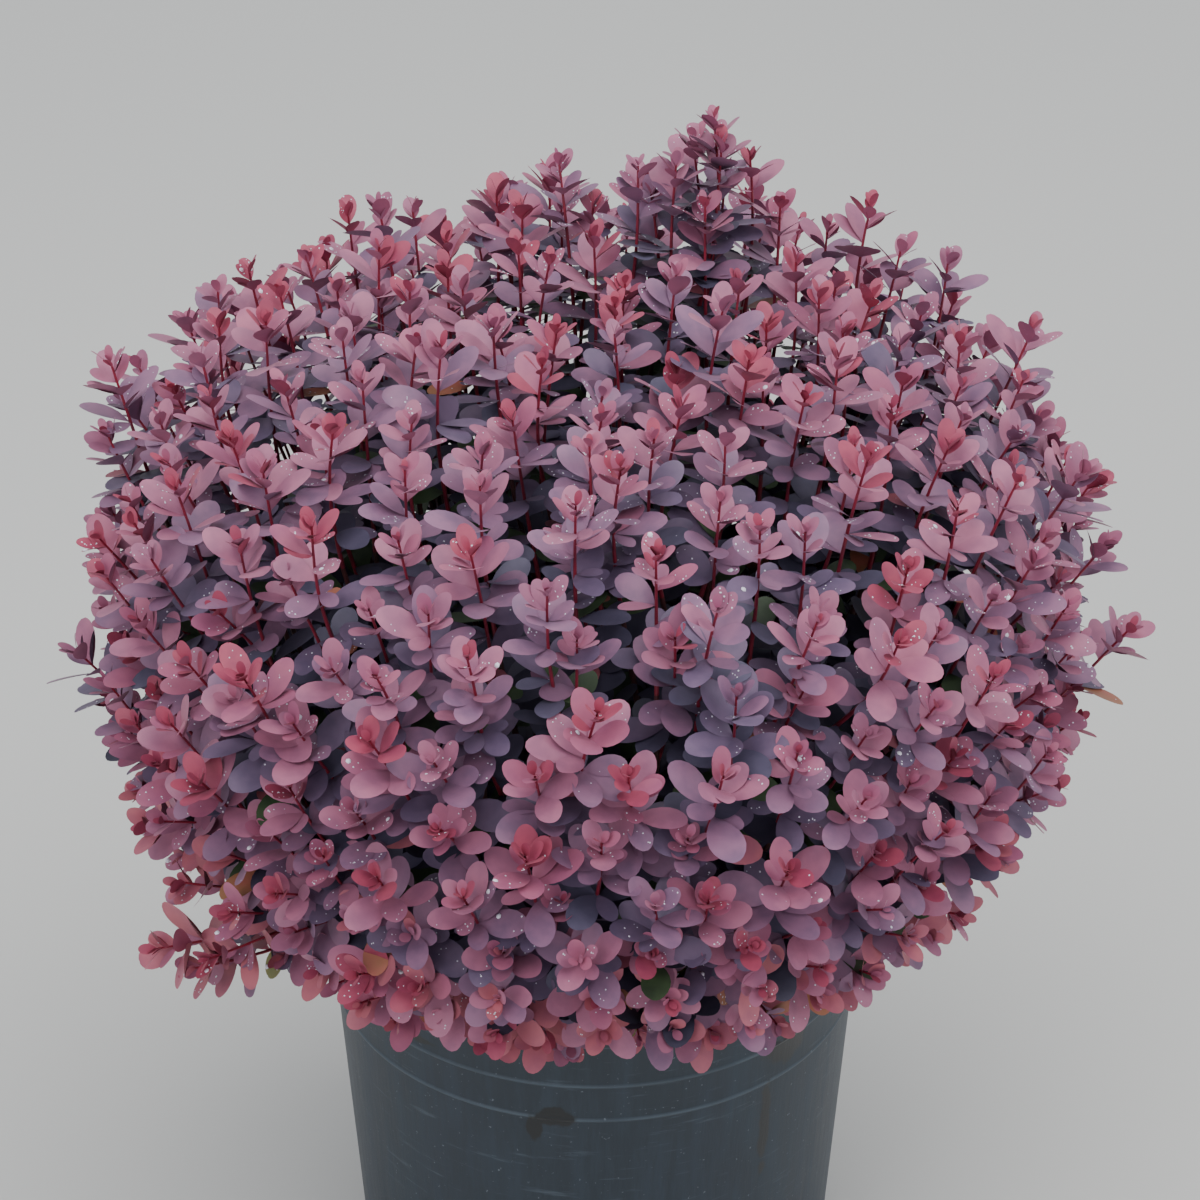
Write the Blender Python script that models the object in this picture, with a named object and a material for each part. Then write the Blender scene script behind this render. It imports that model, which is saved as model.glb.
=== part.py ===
"""A dwarf purple barberry: a dense round mound of upright leafy shoots, in the round plastic pot it was grown in.

Metres, +Z up. The origin is the middle of the pot's flat underside, and -Y is the front.
Stems fork at a short woody foot in the soil. Each carries one mass of shoots and leaves, and each mass keeps to its own
cone of the crown, with the fork at the cone's point. Leaves are about twice life size, because they are far fewer.
"""

import math
import random

import bmesh
import bpy
from mathutils import Matrix, Vector
from mathutils.bvhtree import BVHTree

# The gap between solids that would touch
GAP = 0.0003

# Pot: a thin tapered tub with a band round its rim and two raised rings below it
POT_HEIGHT = 0.241
POT_RIM_RADIUS = 0.140
POT_TOP_RADIUS = 0.1373
POT_BASE_RADIUS = 0.121
POT_WALL = 0.0018
POT_FLOOR = 0.0025
RIM_DEPTH = 0.017
RING_DROPS = (0.043, 0.065)
RING_HEIGHT = 0.0026
RING_STANDS = 0.0008
UNDERSIDE_CHAMFER = 0.004
POT_STEPS = 40
DRAIN_COUNT = 6
DRAIN_RADIUS = 0.006

# Soil: level where the foot stands, and a little lower at the wall
SOIL_TOP = 0.219
SOIL_SINK = 0.005
SOIL_LEVEL_RADIUS = 0.05

# Foot: a root flare, a waist, and a round burl that the boughs leave
BURL_RADIUS = 0.020
FLARE_RADIUS = 0.027
WAIST_RADIUS = 0.0165
FORK = Vector((0, 0, SOIL_TOP + GAP + 0.021))

# Boughs
BOUGH_BASE = 0.0042
BOUGH_TIP = 0.0026
BOUGH_BOW = 0.010
BOUGH_POINTS = 5

# Crown: an ellipsoid with squared shoulders, whose surface the shoots' tips reach
CROWN_MIDDLE = 0.413
CROWN_RADIUS = 0.253
CROWN_RISE = 0.155
CROWN_DROP = 0.185
CROWN_POWER = 3.0
SKIRT_RADIUS = 0.160

# The bare heart of the crown, and the core of each mass, as shares of the way from the fork to the crown's surface
HEART = 0.42
CORE_FROM = 0.48
CORE_TO = 0.66
CORE_ROUGHNESS = 0.14

# Rows of masses: name, how many, height angle in degrees, turn of the first one
MASS_ROWS = (("low", 8, 19, 22.5), ("high", 5, 53, 18), ("top", 1, 90, 0))
MASS_GAP = 0.0005
POT_ROOM = 0.004

# Shoots and leaves
SHOOT_SPACING = 0.083
SHOOT_LENGTH = 0.085
SHOOT_ROOM = 0.006
TOP_LEAF_REACH = 0.024
SHOOT_RISE = 0.55
TWIG_ROOT = 0.0024
TWIG_FOOT = 0.0021
TWIG_TIP = 0.0012
STEM_SIDES = 6
LEAF_LENGTH = 0.052
LEAF_THICKNESS = 0.0020
LEAF_SEED = 1

# Leaves up a shoot: place along it, angle from it in degrees, share of the full length, age
LEAF_STEPS = (
    (0.34, 66, 1.00, "old"),
    (0.54, 60, 1.00, "old"),
    (0.74, 50, 0.92, "grown"),
    (0.93, 30, 0.76, "young"),
)
GOLDEN_TURN = math.radians(137.5)

# Shoots that outgrow the mound or mark its outline: turn from +X in degrees, distance from the axis, height
LEADERS = (
    (62, 0.125, 0.610),
    (78, 0.105, 0.588),
    (98, 0.131, 0.578),
    (132, 0.162, 0.556),
    (154, 0.209, 0.524),
    (175, 0.236, 0.523),
    (43, 0.189, 0.553),
    (34, 0.215, 0.527),
    (16, 0.226, 0.518),
    (-5, 0.252, 0.446),
    (-11, 0.266, 0.414),
    (-175, 0.258, 0.384),
    (-149, 0.252, 0.276),
    (-43, 0.224, 0.300),
    (-94, 0.171, 0.247),
)

# Colours, linear
COLOURS = {
    "pot_plastic": ((0.028, 0.034, 0.042), 0.5),
    "potting_mix": ((0.045, 0.028, 0.018), 0.95),
    "bark": ((0.12, 0.075, 0.05), 0.85),
    "red_twig": ((0.22, 0.022, 0.03), 0.5),
    "leaf_old": ((0.13, 0.07, 0.12), 0.5),
    "leaf_grown": ((0.27, 0.10, 0.17), 0.5),
    "leaf_young": ((0.45, 0.10, 0.14), 0.5),
}


def make_material(name):
    colour, roughness = COLOURS[name]
    material = bpy.data.materials.new(name)
    material.use_nodes = True
    shader = material.node_tree.nodes["Principled BSDF"]
    shader.inputs["Base Color"].default_value = (*colour, 1)
    shader.inputs["Roughness"].default_value = roughness
    shader.inputs["Metallic"].default_value = 0
    material.diffuse_color = (*colour, 1)
    return material


def make_piece(name, points, faces, materials, material, collection):
    """One closed piece of a mass, coloured by one of the mass's materials."""
    mesh = bpy.data.meshes.new(name)
    mesh.from_pydata([tuple(p) for p in points], [], faces)
    for each in materials:
        mesh.materials.append(each)
    mesh.polygons.foreach_set("material_index", [materials.index(material)] * len(faces))
    thing = bpy.data.objects.new(name, mesh)
    collection.objects.link(thing)
    return thing


def turned(name, profile, steps, material):
    """A solid of revolution: the profile runs down the outer side, from the axis back to the axis."""
    edges = [(i, i + 1) for i in range(len(profile) - 1)]
    mesh = bpy.data.meshes.new(name)
    mesh.from_pydata([(r, 0, z) for r, z in profile], edges, [])
    mesh.materials.append(material)
    thing = bpy.data.objects.new(name, mesh)
    bpy.context.scene.collection.objects.link(thing)
    screw = thing.modifiers.new("Screw", "SCREW")
    screw.steps = steps
    screw.render_steps = steps
    screw.use_merge_vertices = True
    screw.merge_threshold = 0.00005
    screw.use_smooth_shade = False
    return thing


def across(point):
    """Distance from the pot's axis."""
    return math.hypot(point.x, point.y)


def polar(turn, distance, height):
    return Vector((distance * math.cos(turn), distance * math.sin(turn), height))


# Pot and soil


def pot_radius(height):
    """Outer radius of the plain wall."""
    return POT_BASE_RADIUS + (POT_TOP_RADIUS - POT_BASE_RADIUS) * height / (POT_HEIGHT - RIM_DEPTH)


def make_pot(material):
    rim_foot = POT_HEIGHT - RIM_DEPTH
    profile = [(0, POT_FLOOR), (pot_radius(POT_FLOOR) - POT_WALL, POT_FLOOR)]
    profile += [(pot_radius(POT_HEIGHT) - POT_WALL, POT_HEIGHT), (POT_RIM_RADIUS, POT_HEIGHT)]
    profile += [(POT_RIM_RADIUS - 0.0004, rim_foot), (pot_radius(rim_foot), rim_foot)]
    for drop in RING_DROPS:
        for offset, stands in ((1, 0), (0, RING_STANDS), (-1, 0)):
            height = POT_HEIGHT - drop + offset * RING_HEIGHT / 2
            profile.append((pot_radius(height) + stands, height))
    profile += [(pot_radius(UNDERSIDE_CHAMFER), UNDERSIDE_CHAMFER), (POT_BASE_RADIUS - UNDERSIDE_CHAMFER, 0), (0, 0)]
    pot = turned("pot", profile, POT_STEPS, material)

    drains = bpy.data.collections.new("drains")
    bpy.context.scene.collection.children.link(drains)
    for i in range(DRAIN_COUNT):
        bpy.ops.mesh.primitive_cylinder_add(vertices=8, radius=DRAIN_RADIUS, depth=0.03)
        cutter = bpy.context.object
        cutter.name = f"drain_cutter_{i + 1}"
        turn = 2 * math.pi * (i + 0.5) / DRAIN_COUNT
        cutter.location = polar(turn, POT_BASE_RADIUS - 0.001, 0.003)
        cutter.rotation_euler = (0, math.radians(135), turn)
        cutter.hide_render = True
        cutter.display_type = "WIRE"
        for holder in list(cutter.users_collection):
            holder.objects.unlink(cutter)
        drains.objects.link(cutter)
    cut = pot.modifiers.new("Drains", "BOOLEAN")
    cut.operation = "DIFFERENCE"
    cut.operand_type = "COLLECTION"
    cut.collection = drains
    return pot


def make_soil(material):
    low = POT_FLOOR + GAP
    edge = SOIL_TOP - SOIL_SINK
    inner = POT_WALL + GAP * 1.5
    profile = [(0, SOIL_TOP), (SOIL_LEVEL_RADIUS, SOIL_TOP), (pot_radius(edge) - inner, edge)]
    profile += [(pot_radius(low) - inner, low), (0, low)]
    return turned("soil", profile, POT_STEPS, material)


def make_foot(material):
    """The burl is a ball round the fork, so each bough's flat end can face it squarely."""
    ground = SOIL_TOP + GAP
    profile = [
        (BURL_RADIUS * math.sin(math.radians(angle)), FORK.z + BURL_RADIUS * math.cos(math.radians(angle)))
        for angle in (0, 18, 37, 55, 72, 90, 108)
    ]
    profile += [(WAIST_RADIUS, ground + 0.0105), (WAIST_RADIUS + 0.002, ground + 0.005), (FLARE_RADIUS, ground), (0, ground)]
    return turned("stem_foot", profile, 20, material)


# The crown's shape


def crown_level(point):
    """1 on the crown's surface, and less inside it."""
    half_height = CROWN_RISE if point.z > CROWN_MIDDLE else CROWN_DROP
    outward = across(point) / CROWN_RADIUS
    upward = abs(point.z - CROWN_MIDDLE) / half_height
    return (outward**CROWN_POWER + upward**CROWN_POWER) ** (1 / CROWN_POWER)


def within(point, share):
    """True inside the crown's shape shrunk to this share of its size about the fork."""
    return crown_level(FORK + (point - FORK) / share) < 1


def crown_normal(point):
    half_height = CROWN_RISE if point.z > CROWN_MIDDLE else CROWN_DROP
    power = CROWN_POWER - 1
    outward = (across(point) / CROWN_RADIUS) ** power / CROWN_RADIUS
    upward = (abs(point.z - CROWN_MIDDLE) / half_height) ** power / half_height
    turn = math.atan2(point.y, point.x)
    return polar(turn, outward, math.copysign(upward, point.z - CROWN_MIDDLE)).normalized()


def crown_profile(angle):
    """(distance from the axis, height) on the crown's surface, from its top at 90 degrees to its underside."""
    power = 2 / CROWN_POWER
    half_height = CROWN_RISE if angle > 0 else CROWN_DROP
    rise = math.copysign(abs(math.sin(angle)) ** power, angle)
    return CROWN_RADIUS * math.cos(angle) ** power, CROWN_MIDDLE + half_height * rise


def shoot_rows(spacing):
    """Rows of shoots from the top of the crown to its skirt, evenly spaced over its surface."""
    row_step = spacing * 0.87
    travelled = row_step * 0.45
    before = crown_profile(math.pi / 2)
    for i in range(1, 1200):
        here = crown_profile(math.pi / 2 - math.pi * i / 1200)
        travelled += math.dist(before, here)
        before = here
        if i > 600 and here[0] < SKIRT_RADIUS:
            return
        if travelled >= row_step:
            travelled -= row_step
            yield here


def shoot_tips(spacing, dice):
    """Every shoot's tip: the leaders, and the rows in between them."""
    leaders = [polar(math.radians(turn), distance, height) for turn, distance, height in LEADERS]
    tips = list(leaders)
    for row, (distance, height) in enumerate(shoot_rows(spacing)):
        count = max(1, round(2 * math.pi * distance / spacing))
        for i in range(count):
            turn = 2 * math.pi * (i + 0.5 * (row % 2) + dice.uniform(-0.16, 0.16)) / count
            tip = polar(turn, distance, height)
            tip = FORK + (tip - FORK) * dice.uniform(0.925, 1.0)
            if min((tip - leader).length for leader in leaders) > 0.62 * spacing:
                tips.append(tip)
    return tips


# Masses: the cones of the crown that they keep to


def mass_directions():
    found = {}
    for row, count, height_angle, first in MASS_ROWS:
        for i in range(count):
            turn = math.radians(first + 360 * i / count)
            rise = math.radians(height_angle)
            name = row if count == 1 else f"{row}_{i + 1}"
            found[name] = polar(turn, math.cos(rise), math.sin(rise))
    return found


DIRECTIONS = mass_directions()


def nearest_mass(point):
    way = (point - FORK).normalized()
    return max(DIRECTIONS, key=lambda name: way.dot(DIRECTIONS[name]))


def in_space(point, name, room):
    """True if the point is in the mass's own space: its cone, outside the bare heart, and clear of the pot."""
    if within(point, HEART):
        return False
    if point.z < POT_HEIGHT + POT_ROOM + room and across(point) < POT_RIM_RADIUS + POT_ROOM + room:
        return False
    way = point - FORK
    mine = DIRECTIONS[name]
    return all(
        way.dot((mine - other).normalized()) > room + MASS_GAP / 2
        for key, other in DIRECTIONS.items()
        if key != name
    )


def reach(start, way, allowed, most=0.2, step=0.001):
    """How far one can go from start before allowed says no."""
    distance = 0
    while distance < most and allowed(start + way * (distance + step)):
        distance += step
    return distance


def edge_of_share(way, share):
    """The distance from the fork to this share of the crown, along way."""
    return reach(FORK, way, lambda p: within(p, share), most=0.4, step=0.0005)


# Boughs and the parts of a mass


def make_bough(name, way, material):
    """One tapering limb from the burl to the mass, bowed a little upwards. Returns its tip and the way it points there."""
    start = FORK + way * (BURL_RADIUS + GAP)
    end = FORK + way * edge_of_share(way, HEART)
    middle = (start + end) / 2 + Vector((0, 0, BOUGH_BOW * math.hypot(way.x, way.y)))
    curve = bpy.data.curves.new(f"bough_{name}", "CURVE")
    curve.dimensions = "3D"
    curve.bevel_depth = 1
    curve.bevel_resolution = 1
    curve.use_fill_caps = True
    spline = curve.splines.new("POLY")
    spline.points.add(BOUGH_POINTS - 1)
    places = []
    for i, point in enumerate(spline.points):
        t = i / (BOUGH_POINTS - 1)
        place = start * (1 - t) ** 2 + middle * 2 * t * (1 - t) + end * t**2
        places.append(place)
        point.co = (*place, 1)
        point.radius = BOUGH_BASE + (BOUGH_TIP - BOUGH_BASE) * t
    curve.materials.append(material)
    bough = bpy.data.objects.new(f"bough_{name}", curve)
    bpy.context.scene.collection.objects.link(bough)
    return places[-1], (places[-1] - places[-2]).normalized()


def frame_along(way, turn=0.0):
    """Two directions square to way, turned about it."""
    side = way.cross(Vector((0, 0, 1)))
    if side.length < 0.01:
        side = Vector((1, 0, 0))
    side = Matrix.Rotation(turn, 3, way) @ side.normalized()
    return side, way.cross(side)


def tube_mesh(places, radii, sides):
    """Points and faces of a tube with flat ends, through places, that doesn't twist where it bends."""
    points = []
    side = None
    for i, place in enumerate(places):
        way = (places[min(i + 1, len(places) - 1)] - places[max(i - 1, 0)]).normalized()
        side = frame_along(way)[0] if side is None else (side - way * side.dot(way)).normalized()
        other = way.cross(side)
        for k in range(sides):
            angle = 2 * math.pi * k / sides
            points.append(place + (side * math.cos(angle) + other * math.sin(angle)) * radii[i])
    faces = [tuple(range(sides))[::-1], tuple(range(len(points) - sides, len(points)))]
    for i in range(len(places) - 1):
        for k in range(sides):
            a, b = i * sides + k, i * sides + (k + 1) % sides
            faces.append((a, b, b + sides, a + sides))
    return points, faces


def leaf_mesh(root, way, face, length):
    """A spoon-shaped blade, thickest near its foot, its shoulders raised and its tip turned down."""
    side = way.cross(face).normalized()
    up = side.cross(way).normalized()

    def at(along, aside, above):
        return root + way * (along * length) + side * (aside * length) + up * (above * length)

    thick = LEAF_THICKNESS / length / 2
    points = [at(0, 0, 0), at(0.58, 0.275, 0.05), at(0.95, 0.14, 0.0), at(0.95, -0.14, 0.0), at(0.58, -0.275, 0.05)]
    points += [at(0.24, 0, thick), at(0.24, 0, -thick)]
    faces = [(i, (i + 1) % 5, 5) for i in range(5)] + [((i + 1) % 5, i, 6) for i in range(5)]
    return points, faces


def make_core(name, materials):
    """A lump that fills the middle of the mass's space. Returns it with its middle and a function for its reach."""
    way = DIRECTIONS[name]
    middle = FORK + way * (edge_of_share(way, CORE_FROM) + edge_of_share(way, CORE_TO)) / 2

    def allowed(point):
        return in_space(point, name, 0.002) and within(point, CORE_TO) and not within(point, CORE_FROM)

    dice = random.Random(f"core {name}")
    shape = bmesh.new()
    bmesh.ops.create_icosphere(shape, subdivisions=2, radius=1)
    for corner in shape.verts:
        outward = corner.co.normalized()
        corner.co = middle + outward * reach(middle, outward, allowed) * (1 - dice.uniform(0, CORE_ROUGHNESS))
    mesh = bpy.data.meshes.new(f"foliage_{name}")
    shape.to_mesh(mesh)
    shape.free()
    for material in materials:
        mesh.materials.append(material)
    core = bpy.data.objects.new(f"foliage_{name}", mesh)
    bpy.context.scene.collection.objects.link(core)
    return core, middle, allowed


def shoot_axis(tip, name):
    """Up and out of the crown, leaning back towards the fork's own direction until the shoot's foot is in the space."""
    low = max(0.0, min(1.0, (tip.z - 0.27) / 0.12))
    wanted = crown_normal(tip).lerp(Vector((0, 0, 1)), SHOOT_RISE * low).normalized()
    radial = (tip - FORK).normalized()
    for share in (1, 0.75, 0.5, 0.25):
        axis = radial.lerp(wanted, share).normalized()
        if in_space(tip - axis * SHOOT_LENGTH, name, SHOOT_ROOM / 2):
            return axis
    return radial


def tree_of(points, faces):
    return BVHTree.FromPolygons([tuple(p) for p in points], faces)


def place_leaf(axis, place, angle, length, turn, name, others):
    """The first way round the shoot that keeps the leaf in the space and off the others, or None."""
    for nudge in (0, 22, -22, 44, -44, 66):
        for size in (1, 0.84):
            outward, _ = frame_along(axis, turn + math.radians(nudge))
            way = (axis * math.cos(angle) + outward * math.sin(angle)).normalized()
            face = (axis * math.sin(angle) - outward * math.cos(angle)).normalized()
            root = place - way * (TWIG_TIP * 0.5)
            points, faces = leaf_mesh(root, way, face, length * size)
            middles = [(points[0] + p) / 2 for p in points[1:5]] + [(points[1] + points[4]) / 2]
            if not all(in_space(p, name, 0) for p in points + middles):
                continue
            tree = tree_of(points, faces)
            if not any(tree.overlap(other) for other in others):
                return points, faces, tree
    return None


def grow_mass(name, tips, bough_tip, bough_way, materials):
    """Core, stem, twigs and leaves of one mass, as one solid."""
    core, middle, core_allows = make_core(name, materials)
    pieces = bpy.data.collections.new(f"pieces_{name}")
    bpy.context.scene.collection.children.link(pieces)
    red, old, grown, young = materials
    by_age = {"old": old, "grown": grown, "young": young}

    stem_start = bough_tip + bough_way * GAP
    places = [stem_start, stem_start + bough_way * 0.006, middle]
    points, faces = tube_mesh(places, [BOUGH_TIP] * 3, STEM_SIDES)
    make_piece("stem", points, faces, materials, red, pieces)

    dice = random.Random(f"leaves {name} {LEAF_SEED}")
    placed = []
    for tip in tips:
        on_way = FORK + DIRECTIONS[name] * (tip - FORK).length
        while not in_space(tip, name, SHOOT_ROOM):
            tip = tip.lerp(on_way, 0.04)
        axis = shoot_axis(tip, name)
        foot = tip - axis * SHOOT_LENGTH
        end = tip - axis * TOP_LEAF_REACH
        inward = foot - middle
        root = middle + inward.normalized() * min(inward.length, reach(middle, inward.normalized(), core_allows) * 0.6)
        path = [root, foot, end]
        radii = [TWIG_ROOT, TWIG_FOOT, TWIG_TIP]
        if (foot - root).length < 0.012:
            path, radii = path[1:], radii[1:]
        if not in_space(foot, name, 0.002):
            continue
        points, faces = tube_mesh(path, radii, 3)
        twig_tree = tree_of(points, faces)
        make_piece("twig", points, faces, materials, red, pieces)
        turn = dice.uniform(0, 2 * math.pi)
        own = []
        for share, angle, size, age in LEAF_STEPS:
            turn += GOLDEN_TURN
            place = foot.lerp(end, share)
            length = LEAF_LENGTH * size * dice.uniform(0.92, 1.08)
            tilt = math.radians(angle + dice.uniform(-6, 6))
            leaf = place_leaf(axis, place, tilt, length, turn, name, placed + own)
            if leaf:
                make_piece("leaf", leaf[0], leaf[1], materials, by_age[age], pieces)
                own.append(leaf[2])
        placed += own + [twig_tree]

    join(core, pieces)
    return core


def join(core, pieces):
    """Unites the core with the collection's objects, and keeps the one closed skin."""
    union = core.modifiers.new("Join", "BOOLEAN")
    union.operation = "UNION"
    union.operand_type = "COLLECTION"
    union.collection = pieces
    union.solver = "MANIFOLD"
    bpy.context.view_layer.update()
    joined = bpy.data.meshes.new_from_object(core.evaluated_get(bpy.context.evaluated_depsgraph_get()))
    core.modifiers.remove(union)
    core.data = joined
    for piece in list(pieces.objects):
        bpy.data.objects.remove(piece)
    bpy.data.collections.remove(pieces)
    keep_largest_skin(joined)


def keep_largest_skin(mesh):
    """Drops loose scraps and the skins of sealed hollows."""
    shape = bmesh.new()
    shape.from_mesh(mesh)
    bmesh.ops.triangulate(shape, faces=shape.faces)
    left = set(shape.verts)
    skins = []
    while left:
        first = left.pop()
        skin, edge = {first}, [first]
        while edge:
            for link in edge.pop().link_edges:
                for corner in link.verts:
                    if corner in left:
                        left.remove(corner)
                        skin.add(corner)
                        edge.append(corner)
        skins.append(skin)
    skins.sort(key=len, reverse=True)
    scraps = [corner for skin in skins[1:] for corner in skin]
    bmesh.ops.delete(shape, geom=scraps, context="VERTS")
    shape.to_mesh(mesh)
    shape.free()


def main():
    for thing in list(bpy.data.objects):
        bpy.data.objects.remove(thing)
    materials = {name: make_material(name) for name in COLOURS}
    make_pot(materials["pot_plastic"])
    make_soil(materials["potting_mix"])
    make_foot(materials["bark"])

    tips = {name: [] for name in DIRECTIONS}
    for tip in shoot_tips(SHOOT_SPACING, random.Random(5)):
        tips[nearest_mass(tip)].append(tip)
    foliage = [materials[key] for key in ("red_twig", "leaf_old", "leaf_grown", "leaf_young")]
    for name, way in DIRECTIONS.items():
        bough_tip, bough_way = make_bough(name, way, materials["bark"])
        mass = grow_mass(name, tips[name], bough_tip, bough_way, foliage)
        print(name, len(tips[name]), "shoots,", len(mass.data.polygons), "triangles")


main()
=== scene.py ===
import math
import random

import bmesh
import bpy
import numpy as np
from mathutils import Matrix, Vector


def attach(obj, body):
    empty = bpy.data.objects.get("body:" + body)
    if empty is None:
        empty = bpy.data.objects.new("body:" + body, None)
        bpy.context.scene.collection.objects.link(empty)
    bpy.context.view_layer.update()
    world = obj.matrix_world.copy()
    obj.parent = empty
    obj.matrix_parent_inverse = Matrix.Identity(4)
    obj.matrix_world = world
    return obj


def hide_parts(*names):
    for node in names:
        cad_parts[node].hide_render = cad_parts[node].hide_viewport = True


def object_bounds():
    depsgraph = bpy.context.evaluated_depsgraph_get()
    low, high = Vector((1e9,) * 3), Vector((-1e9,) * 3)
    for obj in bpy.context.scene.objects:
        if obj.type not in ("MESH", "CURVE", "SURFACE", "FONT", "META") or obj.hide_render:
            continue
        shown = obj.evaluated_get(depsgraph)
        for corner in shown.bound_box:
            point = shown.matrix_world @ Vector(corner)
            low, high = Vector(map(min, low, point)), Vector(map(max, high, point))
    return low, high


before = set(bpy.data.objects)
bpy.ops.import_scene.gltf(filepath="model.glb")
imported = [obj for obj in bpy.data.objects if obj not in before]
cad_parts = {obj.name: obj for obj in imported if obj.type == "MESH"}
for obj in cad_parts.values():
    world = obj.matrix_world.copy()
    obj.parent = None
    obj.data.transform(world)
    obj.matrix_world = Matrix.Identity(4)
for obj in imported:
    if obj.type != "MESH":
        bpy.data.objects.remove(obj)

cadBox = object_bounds()  # the solids' own box, which every piece stays inside
boxLow, boxHigh = np.array(cadBox[0]), np.array(cadBox[1])
nodeNames = list(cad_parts)
foliageNodes = [n for n in nodeNames if n.startswith("foliage_")]
boughNodes = [n for n in nodeNames if n.startswith("bough_")]

# A dwarf purple barberry in a black nursery pot. Everything is in metres, +Z is up and -Y is the front.

view = {"eye": (0.0027, -1.9159, 1.5691), "aim": (0.0027, 0, 0.395), "fieldOfView": 15.0}


def placeCamera():
    camera = bpy.data.objects.new("camera", bpy.data.cameras.new("camera"))
    camera.data.sensor_fit = "HORIZONTAL"
    camera.data.angle = math.radians(view["fieldOfView"])
    camera.location = view["eye"]
    aim = Vector(view["aim"]) - Vector(view["eye"])
    camera.rotation_euler = aim.to_track_quat("-Z", "Y").to_euler()
    bpy.context.scene.collection.objects.link(camera)
    bpy.context.scene.camera = camera


# Helpers for colours, materials and meshes


# sRGB hex to linear red, green, blue and alpha
def linear(hexColour):
    parts = [int(hexColour[i:i + 2], 16) / 255 for i in (1, 3, 5)]
    return tuple(c / 12.92 if c <= 0.04045 else ((c + 0.055) / 1.055) ** 2.4 for c in parts) + (1.0,)


def newMaterial(name, baseHex, roughness, **sockets):
    material = bpy.data.materials.new(name)
    material.use_nodes = True
    shader = material.node_tree.nodes["Principled BSDF"]
    shader.inputs["Base Color"].default_value = linear(baseHex)
    shader.inputs["Roughness"].default_value = roughness
    for socket, value in sockets.items():
        shader.inputs[socket.replace("_", " ")].default_value = value
    return material, material.node_tree, shader


# A node with its properties, input values, links from (node, output) to its inputs, and a ramp's stops
def addNode(tree, kind, values=None, inputs=None, links=None, stops=()):
    node = tree.nodes.new(kind)
    for key, value in (values or {}).items():
        setattr(node, key, value)
    for key, value in (inputs or {}).items():
        node.inputs[key].default_value = value
    for key, (source, output) in (links or {}).items():
        tree.links.new(source.outputs[output], node.inputs[key])
    for i, (position, hexColour) in enumerate(stops):
        node.color_ramp.elements[i].position = position
        node.color_ramp.elements[i].color = linear(hexColour)
    return node


# The texture scale that gives a pattern this size
def perMetre(millimetres):
    return 1000 / millimetres


# A mesh from arrays of points and of quads or triangles, riding on the plant
def newPiece(name, points, faces, material, smooth=True):
    mesh = bpy.data.meshes.new(name)
    points = np.asarray(points, dtype=np.float32)
    faces = np.asarray(faces, dtype=np.int32)
    corners = faces.shape[1]
    mesh.vertices.add(len(points))
    mesh.vertices.foreach_set("co", points.ravel())
    mesh.loops.add(faces.size)
    mesh.loops.foreach_set("vertex_index", faces.ravel())
    mesh.polygons.add(len(faces))
    mesh.polygons.foreach_set("loop_start", np.arange(0, faces.size, corners, dtype=np.int32))
    mesh.update(calc_edges=True)
    mesh.validate()
    mesh.polygons.foreach_set("use_smooth", [smooth] * len(mesh.polygons))
    mesh.materials.append(material)
    piece = bpy.data.objects.new(name, mesh)
    bpy.context.scene.collection.objects.link(piece)
    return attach(piece, "root")


# The faces of many copies of one shape, whose points follow one another
def manyOf(faces, count, pointsEach):
    starts = np.arange(count) * pointsEach
    return (faces[None] + starts[:, None, None]).reshape(-1, faces.shape[1])


def unit(vectors):
    return vectors / np.maximum(np.linalg.norm(vectors, axis=-1, keepdims=True), 1e-9)


def polar(turn, distance, height):
    return np.array([distance * math.cos(turn), distance * math.sin(turn), height])


# Pot: black polyethylene, injection moulded, scuffed and weathered out of doors

pot = {
    "height": 0.241,
    "rimRadius": 0.140,
    "topRadius": 0.1373,
    "baseRadius": 0.121,
    "wall": 0.0018,
    "floor": 0.0025,
    "rimDepth": 0.017,
    "rimTaper": 0.0004,  # how much narrower the rim's band is at its foot
    "footRound": 0.004,
    "cornerRound": 0.0007,
    "ringDrops": (0.043, 0.065),  # from the top of the rim
    "ringHeight": 0.0026,
    "ringStands": 0.0008,
    "steps": 160,  # faces round the pot
    "sharpAngle": 50,  # degrees, as is drainTilt
    "drains": 6,
    "drainRadius": 0.006,
    "drainTilt": 135,
    "colour": "#1a2530",
    "scuffColour": "#2f3d4a",
    # pale wear on the scratches, and a painted highlight with rubbed wear along the ring lines and the
    # rim's foot
    "paleWearAndHighlightColour": "#5a6874",
    "dustColour": "#818a93",
    "wetColour": "#101317",
}

# Sizes of the marks on the pot, in millimetres
potMarks = {"scuffs": 7, "clouds": 45, "specks": 2.2, "scratches": 3.5, "wetEdge": 9}

# Wet marks where rain ran down: the centre, and how far each reaches along x, y and z
wetMarks = (
    ((0.094, -0.094, 0.193), (0.013, 0.013, 0.009)),
    ((0.085, -0.100, 0.150), (0.0035, 0.0035, 0.038)),
    ((-0.020, -0.133, 0.177), (0.011, 0.008, 0.006)),
    ((-0.030, -0.130, 0.168), (0.004, 0.006, 0.009)),
    ((-0.092, -0.100, 0.204), (0.017, 0.017, 0.0022)),
)


def potRadius(height):
    rise = pot["height"] - pot["rimDepth"]
    return pot["baseRadius"] + (pot["topRadius"] - pot["baseRadius"]) * height / rise


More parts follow.
